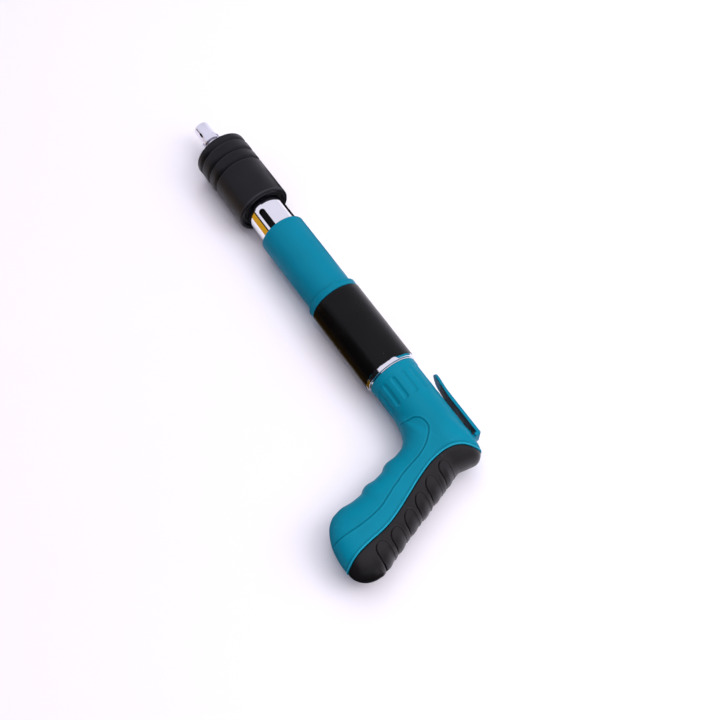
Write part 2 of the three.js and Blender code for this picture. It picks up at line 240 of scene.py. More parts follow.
TEAL = (0.0, 0.192, 0.288, 1.0)
# light teal of the painted highlight along the shell's rim
RIM_HIGHLIGHT = srgb(40, 160, 186)
M = {
    "teal": plastic("teal_plastic", TEAL, rough=(0.36, 0.46), grain=0.08, spec=0.05),
    "shell": plastic("teal_shell", TEAL, rough=(0.34, 0.44), grain=0.08, spec=0.05, tinted=True),
    "teal_paint": plastic("teal_paint", (0.0, 0.174, 0.268, 1.0), rough=(0.34, 0.44), grain=0.04, spec=0.05, grain_scale=1200.0),
    "sleeve": rubber("sleeve_rubber", srgb(15, 15, 19), rough=(0.34, 0.44), grain=0.05, spec=0.2, dust_amount=0.1, tinted=True),
    "pad": rubber("grip_rubber", srgb(22, 20, 21), rough=(0.3, 0.42), grain=0.07, scale=2200.0, spec=0.28, dust_amount=0.1),
    "rubber": rubber("seal_rubber", srgb(20, 20, 21), spec=0.35),
    "clip_black": rubber("clip_inner_black", srgb(20, 21, 30), rough=(0.45, 0.6), grain=0.08, spec=0.35),
    "chrome": metal("chrome", (0.86, 0.86, 0.9, 1), rough=(0.045, 0.12), brushed=(0.15, 1, 1), strength=0.03, tarnish=0.12),
    "satin": metal("satin_chrome", (0.84, 0.84, 0.92, 1), rough=(0.34, 0.46), brushed=(5.0, 0.6, 0.6), strength=0.12, tarnish=0.2),
    "steel": metal("turned_steel", (0.52, 0.53, 0.56, 1), rough=(0.24, 0.4), brushed=(6.0, 0.5, 0.5), strength=0.2, scale=700),
    "dark": metal("dark_steel", (0.06, 0.06, 0.068, 1), rough=(0.35, 0.55), brushed=(3.0, 0.6, 0.6), strength=0.15),
    # painted shade: near black on the walls and floors of the slits and keyway, standing in for the shade inside them
    "black_slot": metal("slot_painted_shade", (0.012, 0.011, 0.011, 1), rough=(0.3, 0.5), strength=0.1, tint=(0.006, 0.006, 0.006, 1)),
    "spring": metal("spring_steel", (0.42, 0.42, 0.44, 1), rough=(0.2, 0.36), strength=0.12, scale=900),
    "screw": metal("black_screw", (0.07, 0.07, 0.075, 1), rough=(0.3, 0.5), strength=0.12),
}


def wrap_material():
    """Glossy black film round the striker tube: long soft ripples, dust, scuffs."""
    n = Nodes("wrap_film")
    base = n.mix(n.remap(n.noise(30, 4), 0.35, 0.7, 0, 1), srgb(5, 5, 5), srgb(10, 9, 10))
    dust = n.remap(n.noise(420, 2), 0.76, 0.8, 0.0, 0.3)
    base = n.mix(dust, base, (0.1, 0.1, 0.11, 1))
    r = n.remap(n.noise(55, 5), 0.3, 0.7, 0.2, 0.3)
    n.bump([(n.noise(30, 2, stretch=(0.2, 1, 1)), 0.12, 0.0005), (n.noise(1500, 2), 0.03, 0.00004)])
    n.set(Base_Color=base, Roughness=r, Specular_IOR_Level=0.16)
    return n.mat


M["wrap"] = wrap_material()


# ---- mesh helpers -------------------------------------------------------
def make(name, verts, faces, mats, body, replaces=(), face_mats=None, angle=38):
    me = bpy.data.meshes.new(name)
    me.from_pydata([tuple(v) for v in to_row(verts)], [], [tuple(int(i) for i in f) for f in faces])
    for m in (mats if isinstance(mats, (list, tuple)) else [mats]):
        me.materials.append(m)
    if face_mats is not None:
        me.polygons.foreach_set("material_index", np.asarray(face_mats, np.int32))
    me.update()
    finish_mesh(me, angle)
    o = bpy.data.objects.new(name, me)
    scene.collection.objects.link(o)
    settle(o, body, replaces)
    return o


def finish_mesh(me, angle=38):
    bm = bmesh.new()
    bm.from_mesh(me)
    bmesh.ops.recalc_face_normals(bm, faces=bm.faces)
    bm.to_mesh(me)
    bm.free()
    me.polygons.foreach_set("use_smooth", [True] * len(me.polygons))
    me.set_sharp_from_angle(angle=math.radians(angle))


def settle(o, body, replaces=()):
    if body:
        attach(o, body)
    if replaces:
        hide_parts(*replaces)


def rounded(points, steps=5):
    """points (a, r, fillet) of a closed profile; each corner becomes an arc."""
    out = []
    n = len(points)
    for i, (a, r, f) in enumerate(points):
        p = np.array([a, r], float)
        if f <= 0:
            out.append(p)
            continue
        q0 = np.array(points[i - 1][:2], float) - p
        q1 = np.array(points[(i + 1) % n][:2], float) - p
        l0, l1 = np.linalg.norm(q0), np.linalg.norm(q1)
        d0, d1 = q0 / l0, q1 / l1
        half = math.acos(max(-1, min(1, float(d0 @ d1)))) / 2
        if half > math.pi / 2 - 0.03:
            out.append(p)
            continue
        t = min(f / math.tan(half), l0 * 0.49, l1 * 0.49)
        rad = t * math.tan(half)
        c = p + (d0 + d1) / np.linalg.norm(d0 + d1) * (rad / math.sin(half))
        s, e = p + d0 * t - c, p + d1 * t - c
        ang = math.atan2(s[0] * e[1] - s[1] * e[0], float(s @ e))
        for k in range(steps + 1):
            w = ang * k / steps
            out.append(c + np.array([s[0] * math.cos(w) - s[1] * math.sin(w), s[0] * math.sin(w) + s[1] * math.cos(w)]))
    return np.array(out)


def lathe_mesh(profile, seg=96, offset=None):
    """closed profile turned round the tube axis; offset(a, theta, r) may change a and r."""
    prof = np.asarray(profile, float)
    n = len(prof)
    th = np.arange(seg) * 2 * math.pi / seg
    a = np.tile(prof[:, 0], (seg, 1))
    r = np.tile(prof[:, 1], (seg, 1))
    t = np.repeat(th[:, None], n, 1)
    if offset:
        a, r = offset(a, t, r)
    v = np.stack([-a, r * np.sin(t), r * np.cos(t)], -1).reshape(-1, 3)
    f = []
    for i in range(seg):
        j = (i + 1) % seg
        for k in range(n):
            m = (k + 1) % n
            f.append((i * n + k, i * n + m, j * n + m, j * n + k))
    return v, f


def split_long(points, step):
    """adds points along the straight parts of a closed profile"""
    out = []
    n = len(points)
    for i in range(n):
        p, q = points[i], points[(i + 1) % n]
        m = max(1, int(np.linalg.norm(q - p) / step))
        out += [p + (q - p) * k / m for k in range(m)]
    return np.array(out)


def temp(name, verts, faces, mats):
    """an object in row metres that isn't a piece yet"""
    me = bpy.data.meshes.new(name)
    me.from_pydata([tuple(v) for v in to_row(verts)], [], [tuple(int(i) for i in f) for f in faces])
    for m in mats:
        me.materials.append(m)
    bm = bmesh.new()
    bm.from_mesh(me)
    bmesh.ops.recalc_face_normals(bm, faces=bm.faces)
    bm.to_mesh(me)
    bm.free()
    o = bpy.data.objects.new(name, me)
    scene.collection.objects.link(o)
    return o


def boolean(o, cutters, bevel=0.0):
    """cuts each cutter out of o, then rounds the sharp edges a little"""
    for c in cutters:
        m = o.modifiers.new("cut", "BOOLEAN")
        m.object = c
        m.operation = "DIFFERENCE"
        m.solver = "EXACT"
    bpy.context.view_layer.update()
    dg = bpy.context.evaluated_depsgraph_get()
    me = bpy.data.meshes.new_from_object(o.evaluated_get(dg))
    o.modifiers.clear()
    old = o.data
    o.data = me
    bpy.data.meshes.remove(old)
    for c in cutters:
        cm = c.data
        bpy.data.objects.remove(c)
        bpy.data.meshes.remove(cm)
    me.polygons.foreach_set("use_smooth", [True] * len(me.polygons))
    me.set_sharp_from_angle(angle=math.radians(32))
    if bevel:
        m = o.modifiers.new("edges", "BEVEL")
        m.width = bevel
        m.segments = 2
        m.limit_method = "ANGLE"
        m.angle_limit = math.radians(50)
    return o


def slot_cutter(name, a0, a1, width, r0, r1, deg, round_end0=True, round_end1=True, mats=()):
    """upright slot with round ends, from radius r0 to r1, turned deg from +Z towards +Y"""
    w = width / 2
    pts = []
    for k in range(13):
        t = math.pi * k / 12
        pts.append((a0 + w - w * math.sin(t) if round_end0 else a0, -w * math.cos(t)))
    for k in range(13):
        t = math.pi * k / 12
        pts.append((a1 - w + w * math.sin(t) if round_end1 else a1, w * math.cos(t)))
    s, c = math.sin(math.radians(deg)), math.cos(math.radians(deg))
    v = []
    for z in (r0, r1):
        for a, y in pts:
            v.append((-a, y * c + z * s, -y * s + z * c))
    n = len(pts)
    f = [tuple(range(n)), tuple(range(2 * n - 1, n - 1, -1))]
    f += [(i, (i + 1) % n, (i + 1) % n + n, i + n) for i in range(n)]
    return temp(name, v, f, list(mats))


def lathe(name, points, mat, body, replaces=(), seg=96, steps=5, step=None, offset=None, angle=38):
    prof = rounded(points, steps)
    if step:
        prof = split_long(prof, step)
    v, f = lathe_mesh(prof, seg, offset)
    return make(name, v, f, mat, body, replaces, angle=angle)


# ---- muzzle -------------------------------------------------------------
prof = rounded([(0, 3.9, 0.35), (0, 6.3, 0.7), (14.2, 6.3, 0.15), (14.2, 5.5, 0.1), (19, 5.5, 0.1), (19, 6.3, 0.2),
                (90, 6.3, 0), (90, 12.2, 0.3), (100, 12.2, 0.3), (100, 3.9, 0.2)])
v, f = lathe_mesh(prof, 72)
muzzle = temp("muzzle_tube_visual", v, f, [M["satin"], M["black_slot"]])
boolean(muzzle, [slot_cutter("slit", 1.6, 9.0, 0.7, 3.0, 8.0, 50, mats=[M["black_slot"]]),
                 slot_cutter("slit_hole", 7.2, 11.8, 2.1, 3.0, 8.0, 51, mats=[M["black_slot"]])], bevel=0.00012)
settle(muzzle, "barrel", ["muzzle_tube"])


def ring_offset(a, t, r):
    """four notches in the ring's rear edge and its split"""
    deg = np.degrees(t)
    r = r.copy()
    for c, w in ((76, 8), (138, 8), (228, 8), (310, 10)):
        k = np.clip(1 - np.maximum(np.abs((deg - c + 180) % 360 - 180) - w, 0) / 1.5, 0, 1)
        back = np.clip((a - 16.1) / 0.2, 0, 1)
        r -= np.where(r > 6.6, 1.15 * k * back, 0)
    return a, r


ring_prof = split_long(rounded([(14.5, 5.8, 0.1), (14.5, 7.8, 0.45), (18.7, 7.8, 0.45), (18.7, 5.8, 0.1)]), 0.35)
v, f = lathe_mesh(ring_prof, 240, ring_offset)
make("muzzle_ring_visual", v, f, M["satin"], "barrel", ["muzzle_ring"])


# ---- grooved sleeve -----------------------------------------------------
def sleeve_r(a):
    r = np.full_like(a, 21.5)
    for c, depth in ((37.2, 1.7), (48.0, 2.0), (58.2, 2.0)):
        front = np.exp(-(((a - c) / 1.55) ** 2))
        back = np.exp(-(((a - c) / 0.85) ** 4))
        r = r - depth * np.where(a < c, front, back)
    for c in (42.4, 53.0):
        r = r + 0.12 * np.exp(-(((a - c) / 2.6) ** 2))
    return r


outer = [(29.5, 6.7), (29.5, 17.8)]
for k in range(1, 13):
    w = math.pi / 2 * k / 12
    outer.append((29.5 + 2.0 * (1 - math.cos(w)), 17.8 + (float(sleeve_r(np.array([31.5]))[0]) - 17.8) * math.sin(w)))
for a in np.arange(31.7, 60.01, 0.2):
    outer.append((a, float(sleeve_r(np.array([a]))[0])))
outer += [(a, 21.5) for a in np.arange(62, 92.1, 2.0)]
for k in range(0, 11):
    w = math.pi / 2 * k / 10
    outer.append((93.0 + 2.4 * math.sin(w), 21.5 - 1.5 * (1 - math.cos(w))))
for k in range(1, 8):
    w = math.pi / 2 * k / 7
    outer.append((95.4 - 1.0 * (1 - math.cos(w)), 20.0 - 1.8 * math.sin(w) * 0.999))
outer += [(93.3, 18.2), (36.0, 18.2), (36.0, 6.7)]


def sleeve_soft(a, t, r):
    """the rubber isn't perfectly round"""
    return a, r + np.where(r > 19, 0.05 * np.sin(3 * t + a * 0.11) + 0.03 * np.sin(7 * t - a * 0.2), 0)


v, f = lathe_mesh(np.array(outer), 160, sleeve_soft)
sleeve = make("front_sleeve_visual", v, f, M["sleeve"], "barrel", ["front_sleeve"])
# painted highlight: light lines on the trailing edge of each groove and on the rear rim stand in for glints, strongest
# round 52 degrees
back = OFF[0] - np.array([q.co.x for q in sleeve.data.vertices]) * 1000.0
turn = np.array([math.degrees(math.atan2(q.co.y * 1000 - OFF[1], q.co.z * 1000 - OFF[2])) for q in sleeve.data.vertices])
glint_spread = 0.42 + 0.16 * np.sin(np.radians(3 * turn + 40)) + 0.42 * np.exp(-(((turn - 52) / 13) ** 2))
painted_glint = sum(np.exp(-(((back - c) / 0.34) ** 2)) for c in (38.2, 49.0, 59.2)) * glint_spread + 0.4 * np.exp(-(((back - 93.6) / 0.4) ** 2))
sleeve.data.attributes.new("tint", "FLOAT", "POINT").data.foreach_set("value", painted_glint.astype(np.float32))

# ---- chrome sliding tube ------------------------------------------------
prof = rounded([(86, 12.5, 0.2), (86, 15.5, 0.4), (205.4, 15.5, 0), (205.4, 16.9, 0.2), (210.4, 16.9, 0.2), (210.4, 12.5, 0.2)])
v, f = lathe_mesh(prof, 128)
tube = temp("barrel_tube_visual", v, f, [M["chrome"], M["black_slot"]])
boolean(tube, [slot_cutter("keyway", 101.6, 184, 5.2, 13.7, 18, 25, mats=[M["black_slot"]])], bevel=0.00018)
settle(tube, "barrel", ["barrel_tube"])

# ---- teal front tube, collar, striker tube ------------------------------
front = temp("front_tube_visual", *lathe_mesh(split_long(rounded([
    (120.8, 15.8, 0.3), (120.8, 18.45, 1.9), (189.1, 18.45, 0.25), (189.1, 17, 0), (205.1, 17, 0.2),
    (205.1, 15.8, 0.2), (129.8, 15.8, 0), (129.8, 17.3, 0), (126, 17.3, 0), (126, 15.8, 0)], 8), 6.0), 128), [M["teal_paint"]])
boolean(front, [slot_cutter("pocket", 151.6, 158.4, 5.0, 15, 17.5, 25, False, False, [M["teal_paint"]])])
settle(front, "housing", ["front_tube"])

lathe("collar_ring_visual", [(189.4, 17.3, 0.1), (189.4, 20.5, 0.55), (190.9, 20.5, 0.1), (191.1, 20.3, 0.1), (193.6, 20.3, 0.1),
      (193.8, 20.5, 0.1), (194.75, 20.5, 0.3), (194.75, 17.3, 0.1)], M["teal_paint"], "housing", ["collar_ring"], seg=144)

body = temp("body_tube_visual", *lathe_mesh(rounded([
    (195.05, 17.3, 0.1), (195.05, 20.0, 0.2), (263.4, 20.0, 0.1), (263.6, 20.35, 0.15), (266.7, 20.35, 0.35), (266.9, 18.9, 0.1), (267.4, 18.7, 0.1), (267.4, 15.8, 0),
    (322, 15.8, 0.3), (322, 13.5, 0.1), (262.3, 13.5, 0), (262.3, 17.3, 0)]), 144), [M["chrome"]])
dimple_v, dimple_f = [], []
for z in (-20.0, -14.4):
    for k in range(32):
        w = 2 * math.pi * k / 32
        dimple_v.append((-290 + 2.8 * math.cos(w), 2.8 * math.sin(w), z))
dimple_f = [tuple(range(31, -1, -1)), tuple(range(32, 64))] + [(k, (k + 1) % 32, (k + 1) % 32 + 32, k + 32) for k in range(32)]
boolean(body, [temp("dimple", dimple_v, dimple_f, [M["chrome"]])])
settle(body, "housing", ["body_tube"])


def skin_offset(end, rear):
    def offset(a, t, r):
        deg = (np.degrees(t) + 180) % 360 - 180
        return np.where(a > 262.0, a + (rear(deg) - end), a), r
    return offset


def rear_teal_patch(deg):
    """the teal layer under the film reaches further back on one side, as a patch over the chrome band"""
    k = np.clip(1 - np.maximum(np.abs(deg + 34) - 17, 0) / 6, 0, 1)
    return 263.45 + 2.9 * k * k * (3 - 2 * k)


def rear_film(deg):
    """the film's trimmed rear edge wanders"""
    w = np.radians(deg)
    k = np.clip(1 - np.maximum(np.abs(deg + 34) - 16, 0) / 10, 0, 1)
    ragged = 0.16 * np.sin(5 * w + 0.7) + 0.13 * np.sin(11 * w) + 0.09 * np.sin(23 * w + 1.3) + 0.06 * np.sin(41 * w)
    return 263.6 + ragged + 1.15 * k


lathe("body_teal_layer", [(195.4, 20.38, 0), (195.4, 20.02, 0), (262.5, 20.02, 0), (263.45, 20.4, 0), (263.45, 20.5, 0.05), (262.5, 20.42, 0)],
      M["teal_paint"], "housing", seg=240, offset=skin_offset(263.45, rear_teal_patch))
lathe("body_wrap_visual", [(195.4, 20.42, 0), (195.4, 20.7, 0.1), (200, 20.7, 0), (262.6, 20.7, 0), (263.6, 20.72, 0.08), (263.6, 20.5, 0), (262.6, 20.44, 0)],
      M["wrap"], "housing", ["body_wrap"], seg=240, step=6.0, offset=skin_offset(263.6, rear_film))

# ---- handle form --------------------------------------------------------
HANDLE_R = 18.6
G0 = np.array([-338.0, 0.0])
GD = np.array([-0.235, 0.972])
GS = np.array([0.972, 0.235])
POWER = 2.3
FRONT = [(-17.4, 5), (-15.7, 14), (-12, 24), (-5, 28), (0, 30), (5, 33), (9, 38.0), (13, 33.6), (18.3, 28.6), (24, 25.9), (31, 25.6),
         (38, 26.8), (41, 26.6), (45.5, 24.8), (53, 24.9), (60, 26.6), (63, 26.3), (67, 24.8), (75, 25.8), (84, 28.2),
         (91, 28.2), (97.5, 25.6), (102, 21.5), (106.5, 15.4), (109.5, 8.6), (111.5, 2.0), (112.6, -2.5)]
BACK = [(-17.4, -7.5), (-15.7, -11.6), (-12, -17.6), (-5, -19.9), (0, -18), (5, -15.8), (9, -14.5), (13, -14.7), (18.3, -15.1),
        (24, -16.0), (31, -16.4), (38, -16.9), (41, -17.3), (45.5, -17.8), (53, -18.4), (60, -18.9), (63, -19.3), (67, -19.7),
        (75, -20.8), (84, -21.8), (91, -22.5), (97.5, -22.7), (102, -21.8), (106.5, -19.5), (109.5, -16.5), (111.5, -13.0), (112.6, -9.5)]
THICK = [(-17.4, 4), (-15.7, 9), (-12, 14.6), (-5, 17.2), (3, 17.7), (9, 17.7), (13, 17.6), (18.3, 17.4), (25, 17.1), (34, 16.9),
         (41, 16.8), (45.5, 16.7), (54, 16.7), (62, 16.8), (67, 16.9), (76, 17.1), (87, 17.5), (95, 17.4), (101, 16.5),
         (106.5, 14.0), (110.3, 10), (112.6, 4)]
PAD_EDGE = [(-370.6, 118), (-369.4, 108.4), (-367.3, 102), (-365.5, 95.4), (-363.9, 86.4), (-362.3, 75.5), (-359.9, 65.9),
            (-356.2, 56.3), (-350.9, 44.4), (-347.4, 36.6), (-342.9, 25.3), (-340.7, 16.9), (-339.9, 8.6), (-341.2, 0.2),
            (-344.1, -6.2), (-348.2, -11.0), (-351.2, -14.5), (-352.6, -18.4), (-353.2, -24), (-353.6, -34)]
LINE = [(-303.4, 27.0), (-304.2, 20.5), (-306.4, 15.0), (-307.8, 11.0), (-311.8, 7.6), (-317.9, 6.9), (-322.8, 9.4), (-328.8, 16.4), (-332.2, 23.9),
        (-334.1, 30.5), (-337.0, 41.0), (-339.7, 47.8), (-341.2, 52.1), (-344.4, 58.9), (-347.9, 67.4), (-349.7, 76.6),
        (-350.6, 87.0), (-350.4, 96.2), (-350.2, 114)]
SCREWS = [(-332, 3), (-338, 43), (-349, 71), (-356, 93)]


def pchip(xs, ys, x):
    xs, ys = np.asarray(xs, float), np.asarray(ys, float)
    h = np.diff(xs)
    d = np.diff(ys) / h
    m = np.zeros_like(ys)
    m[0], m[-1] = d[0], d[-1]
    for i in range(1, len(xs) - 1):
        if d[i - 1] * d[i] > 0:
            w1, w2 = 2 * h[i] + h[i - 1], h[i] + 2 * h[i - 1]
            m[i] = (w1 + w2) / (w1 / d[i - 1] + w2 / d[i])
    k = np.clip(np.searchsorted(xs, x) - 1, 0, len(xs) - 2)
    t = (x - xs[k]) / h[k]
    return ((2 * t**3 - 3 * t**2 + 1) * ys[k] + (t**3 - 2 * t**2 + t) * h[k] * m[k]
            + (3 * t**2 - 2 * t**3) * ys[k + 1] + (t**3 - t**2) * h[k] * m[k + 1])


TU = np.arange(-18.3, 113.15, 0.1)
fu = np.array([u for u, _ in FRONT])
vf = np.array([q for _, q in FRONT], float)
vb = np.array([q for _, q in BACK], float)
ends_u = np.concatenate([[-18.3], fu, [113.1]])
centre = np.concatenate([[(vf[0] + vb[0]) / 2], (vf + vb) / 2, [(vf[-1] + vb[-1]) / 2]])
half2 = np.concatenate([[0.01], ((vf - vb) / 2) ** 2, [0.01]])
tu = np.concatenate([[-18.3], [u for u, _ in THICK], [113.1]])
th2 = np.concatenate([[0.01], np.array([q for _, q in THICK], float) ** 2, [0.01]])
TC = pchip(ends_u, centre, TU)
TH = np.sqrt(np.maximum(pchip(ends_u, half2, TU), 0.01))
TZ = np.sqrt(np.maximum(pchip(tu, th2, TU), 0.01))


def smooth_table(t, sigma=6):
    k = np.exp(-0.5 * (np.arange(-18, 19) / sigma) ** 2)
    k /= k.sum()
    s = np.convolve(np.pad(t, 18, mode="edge"), k, "valid")
    w = np.clip((TU + 14) / 4, 0, 1) * np.clip((108 - TU) / 4, 0, 1)
    return t * (1 - w) + s * w


TC, TH, TZ = smooth_table(TC, 5), smooth_table(TH, 5), smooth_table(TZ, 14)


def grip_uv(p):
    wx, wy = p[:, 0] - G0[0], p[:, 1] - G0[1]
    return GD[0] * wx + GD[1] * wy, GS[0] * wx + GS[1] * wy


def form(p):
    """the handle's smooth outer form as a signed field, below zero inside"""
    u, v = grip_uv(p)
    c, hv, h = np.interp(u, TU, TC), np.interp(u, TU, TH), np.interp(u, TU, TZ)
    q = (np.abs((v - c) / hv) ** POWER + np.abs(p[:, 2] / h) ** POWER) ** (1 / POWER)
    g = (q - 1) * np.minimum(hv, h)
    a = -p[:, 0]
    cap = np.maximum(a - 334, 0) * 1.55
    t = np.sqrt(p[:, 1] ** 2 + p[:, 2] ** 2 + cap**2) - HANDLE_R
    k = 7.0
    w = np.maximum(k - np.abs(t - g), 0) / k
    return np.minimum(t, g) - w * w * k / 4 * 0.8


def gradient(p, e=0.03):
    g = np.zeros_like(p)
    for i in range(3):
        d = np.zeros(3)
        d[i] = e
        g[:, i] = (form(p + d) - form(p - d)) / (2 * e)
    return g


def base_form(voxel):
    """rough union of tube and grip, voxel remeshed, then drawn onto the smooth form"""
    prof = [(255, 0.01), (255, HANDLE_R + 0.2), (334, HANDLE_R + 0.2)]
    prof += [(334 + 12 * math.sin(w), (HANDLE_R + 0.2) * math.cos(w)) for w in np.linspace(0.1, 1.56, 14)]
    v, f = lathe_mesh(np.array(prof), 72)
    verts, faces = [tuple(p) for p in v], list(f)
    us = np.concatenate([np.arange(-18.25, -14, 0.4), np.arange(-14, 106, 1.0), np.arange(106, 113.05, 0.35)])
    n = 64
    base = len(verts)
    for u in us:
        c, hv, h = np.interp(u, TU, TC), np.interp(u, TU, TH), np.interp(u, TU, TZ)
        for i in range(n):
            w = 2 * math.pi * i / n
            cs, sn = math.cos(w), math.sin(w)
            vv = c + hv * math.copysign(abs(cs) ** (2 / POWER), cs)
            z = h * math.copysign(abs(sn) ** (2 / POWER), sn)
            verts.append((G0[0] + u * GD[0] + vv * GS[0], G0[1] + u * GD[1] + vv * GS[1], z))
    for j in range(len(us) - 1):
        for i in range(n):
            a, b = base + j * n + i, base + j * n + (i + 1) % n
            faces.append((a, b, b + n, a + n))
    faces.append(tuple(base + i for i in range(n)))
    faces.append(tuple(base + (len(us) - 1) * n + i for i in range(n - 1, -1, -1)))
    me = bpy.data.meshes.new("form")
    me.from_pydata(verts, [], faces)
    bm = bmesh.new()
    bm.from_mesh(me)
    bmesh.ops.recalc_face_normals(bm, faces=bm.faces)
    bm.to_mesh(me)
    bm.free()
    o = bpy.data.objects.new("form", me)
    scene.collection.objects.link(o)
    m = o.modifiers.new("remesh", "REMESH")
    m.mode = "VOXEL"
    m.voxel_size = voxel
    m.adaptivity = 0
    bpy.context.view_layer.update()
    e = o.evaluated_get(bpy.context.evaluated_depsgraph_get())
    got = e.to_mesh()
    V = np.zeros(len(got.vertices) * 3)
    got.vertices.foreach_get("co", V)
    V = V.reshape(-1, 3)
    got.calc_loop_triangles()
    F = np.zeros(len(got.loop_triangles) * 3, np.int64)
    got.loop_triangles.foreach_get("vertices", F)
    F = F.reshape(-1, 3)
    e.to_mesh_clear()
    bpy.data.objects.remove(o)
    bpy.data.meshes.remove(me)
    for it in range(7):
        act = -V[:, 0] > 258
        p = V[act]
        g = gradient(p)
        val = form(p)
        step = -val[:, None] * g / np.maximum((g**2).sum(1), 0.05)[:, None]
        ln = np.linalg.norm(step, axis=1)
        step *= np.minimum(1, 0.8 / np.maximum(ln, 1e-9))[:, None]
        V[act] = p + step
        if it in (1, 3, 5):
            V = relax(V, F, 2)
    return V, F


def relax(V, F, times):
    """moves each point towards the middle of its neighbours, along the surface"""
    E = np.unique(np.sort(np.concatenate([F[:, [0, 1]], F[:, [1, 2]], F[:, [2, 0]]]), 1), axis=0)
    deg = np.bincount(E.ravel(), minlength=len(V)).astype(float)
    for _ in range(times):
        s = np.zeros_like(V)
        for k in range(3):
            s[:, k] = np.bincount(E[:, 0], V[E[:, 1], k], len(V)) + np.bincount(E[:, 1], V[E[:, 0], k], len(V))
        V = V + 0.5 * (s / np.maximum(deg, 1)[:, None] - V)
    return V


def clip(V, F, s, snap=0.07):
    """the part of a triangle mesh where s >= 0, cut cleanly along s = 0, and a mask of the points on that cut"""
    s = np.where(np.abs(s) < snap, 0.0, s)
    pos = s >= 0
    k = pos[F].sum(1)
    full = F[k == 3]
    parts = [full]
    one, two = F[k == 1], F[k == 2]

    def lone(T, want):
        m = pos[T] == want
        i = m.argmax(1)
        r = np.arange(len(T))
        return T[r, i], T[r, (i + 1) % 3], T[r, (i + 2) % 3]

    A1, B1, C1 = lone(one, True) if len(one) else (np.zeros(0, int),) * 3
    A2, B2, C2 = lone(two, False) if len(two) else (np.zeros(0, int),) * 3
    ed = np.concatenate([np.stack([A1, B1], 1), np.stack([A1, C1], 1), np.stack([A2, B2], 1), np.stack([A2, C2], 1)])
    ed = np.sort(ed, 1)
    uniq, inv = np.unique(ed, axis=0, return_inverse=True)
    inv = inv.ravel()
    sa, sb = s[uniq[:, 0]], s[uniq[:, 1]]
    w = np.clip(sa / np.where(np.abs(sa - sb) < 1e-12, 1, sa - sb), 0, 1)[:, None]
    NV = V[uniq[:, 0]] * (1 - w) + V[uniq[:, 1]] * w
    ids = inv + len(V)
    n1, n2 = len(A1), len(A2)
    ab1, ac1 = ids[:n1], ids[n1:2 * n1]
    ab2, ac2 = ids[2 * n1:2 * n1 + n2], ids[2 * n1 + n2:]
    parts += [np.stack([A1, ab1, ac1], 1), np.stack([ab2, B2, C2], 1), np.stack([ab2, C2, ac2], 1)]
    F2 = np.concatenate(parts)
    V2 = np.concatenate([V, NV])
    on = np.concatenate([s == 0, np.ones(len(NV), bool)])
    # merge cut points that fall on one another, then drop flat triangles
    key = np.round(V2 / 1e-4).astype(np.int64)
    _, first, inverse = np.unique(key, axis=0, return_index=True, return_inverse=True)
    inverse = inverse.ravel()
    F2 = first[inverse[F2]]
    ok = (F2[:, 0] != F2[:, 1]) & (F2[:, 1] != F2[:, 2]) & (F2[:, 2] != F2[:, 0])
    F2 = F2[ok]
    used = np.unique(F2)
    back = np.full(len(V2), -1)
    back[used] = np.arange(len(used))
    return V2[used], back[F2], on[used]


def curve_points(pts, step=0.4):
    """smooth line through the points"""
    p = np.array(pts, float)
    out = []
    for i in range(len(p) - 1):
        p0, p1, p2, p3 = p[max(i - 1, 0)], p[i], p[i + 1], p[min(i + 2, len(p) - 1)]
        n = max(2, int(np.linalg.norm(p2 - p1) / step))
        for k in range(n):
            t = k / n
            out.append(0.5 * ((2 * p1) + (p2 - p0) * t + (2 * p0 - 5 * p1 + 4 * p2 - p3) * t**2 + (3 * p1 - p0 - 3 * p2 + p3) * t**3))
    out.append(p[-1])
    return np.array(out)


def signed(P, line):
    """distance to a line in plan, positive to the right of its direction, and the place along it"""
    a, b = line[:-1], line[1:]
    d = b - a
    L2 = (d**2).sum(1)
    cum = np.concatenate([[0], np.cumsum(np.sqrt(L2))])
    best = np.full(len(P), 1e9)
    sign = np.ones(len(P))
    along = np.zeros(len(P))
    for i in range(0, len(P), 4000):
        q = P[i:i + 4000, None, :2] - a[None]
        t = np.clip((q * d[None]).sum(2) / L2[None], 0, 1)
        r = q - t[..., None] * d[None]
        dist = (r**2).sum(2)
        j = dist.argmin(1)
        rr = np.arange(len(j))
        best[i:i + 4000] = np.sqrt(dist[rr, j])
        cr = d[j, 0] * r[rr, j, 1] - d[j, 1] * r[rr, j, 0]
        sign[i:i + 4000] = np.where(cr < 0, 1, -1)
        along[i:i + 4000] = cum[j] + t[rr, j] * np.sqrt(L2[j])
    return best * sign, along


def step01(x, a, b):
    t = np.clip((x - a) / (b - a), 0, 1)
    return t * t * (3 - 2 * t)


EDGE = curve_points(PAD_EDGE)
ENGRAVED = curve_points(LINE)
VOXEL = 0.42
V0, F0 = base_form(VOXEL)
V0, F0, _ = clip(V0, F0, -V0[:, 0] - 268.35)
edge_d, _ = signed(V0, EDGE)
# the pad lies on the side of the edge that faces away from the fingers
probe = signed(np.array([[-372.0, 60.0, 0.0]]), EDGE)[0][0]
edge_d = edge_d * (1 if probe > 0 else -1)
PAD_SIGN = 1 if probe > 0 else -1
TONGUE_SHIFT = [2.2, 1.8, 1.4, 1.2, 1.0, 0.6]
TONGUE_TIP = [4.6, 4.4, 4.4, 4.4, 4.2, 4.0]
TONGUES = [(-348.1, 11.9), (-352.8, 26.6), (-357.2, 40.0), (-362.7, 52.9), (-367.1, 67.1), (-372.0, 80.3)]


